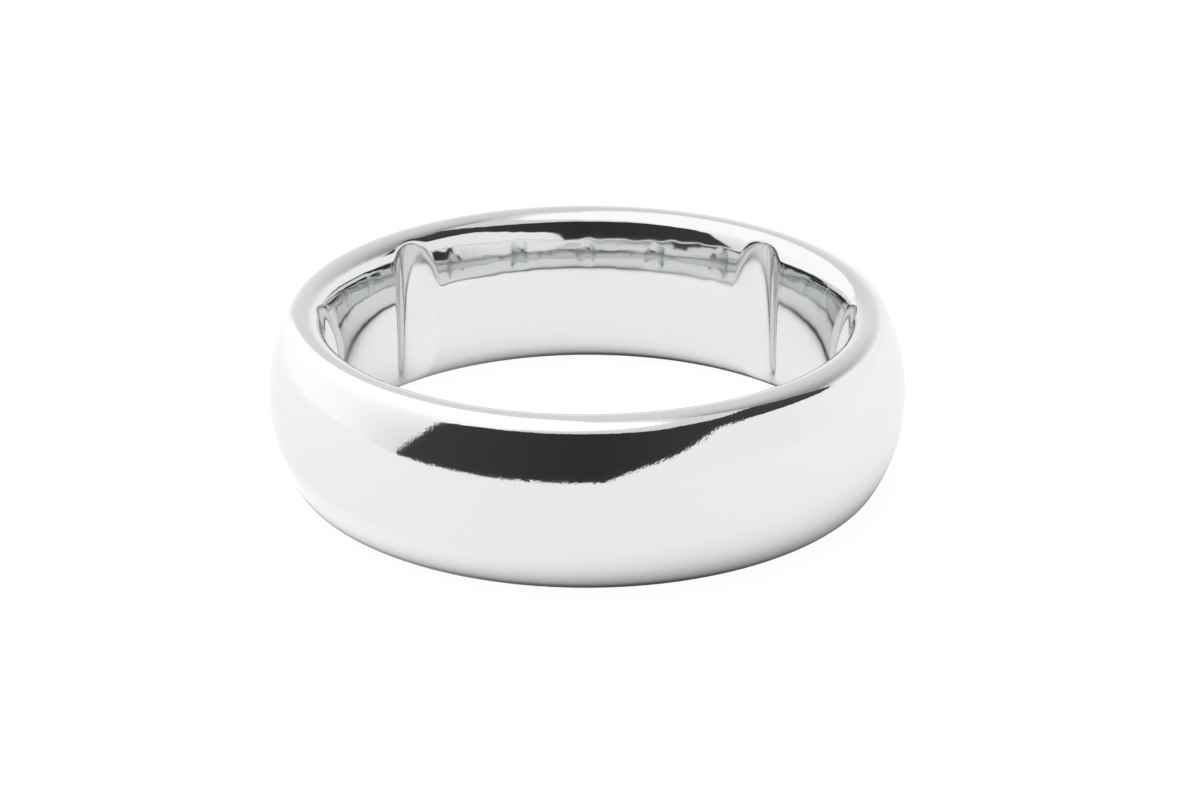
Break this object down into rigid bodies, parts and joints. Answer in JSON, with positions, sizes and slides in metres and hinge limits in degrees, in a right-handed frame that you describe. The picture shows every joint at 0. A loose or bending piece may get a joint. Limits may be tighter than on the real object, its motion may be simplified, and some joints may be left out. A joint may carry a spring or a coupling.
{
  "type": "grooved band ring",
  "caption": "One-piece finger ring: a domed, mirror-polished white metal band with a rounded inside and short scooped grooves along the finger direction.",
  "frame": {"origin": "middle of the ring on the surface it lies on, in the plane of its lower rim", "axes": "+Z along the finger, out of the upper rim; +Y towards the place inside the band that has no groove; +X towards a groove a quarter turn from it"},
  "size_m": [0.0224, 0.0224, 0.006],
  "materials": {
    "band": "mirror-polished white precious metal"
  },
  "bodies": {
    "root": {"band": "band"}
  },
  "joints": []
}
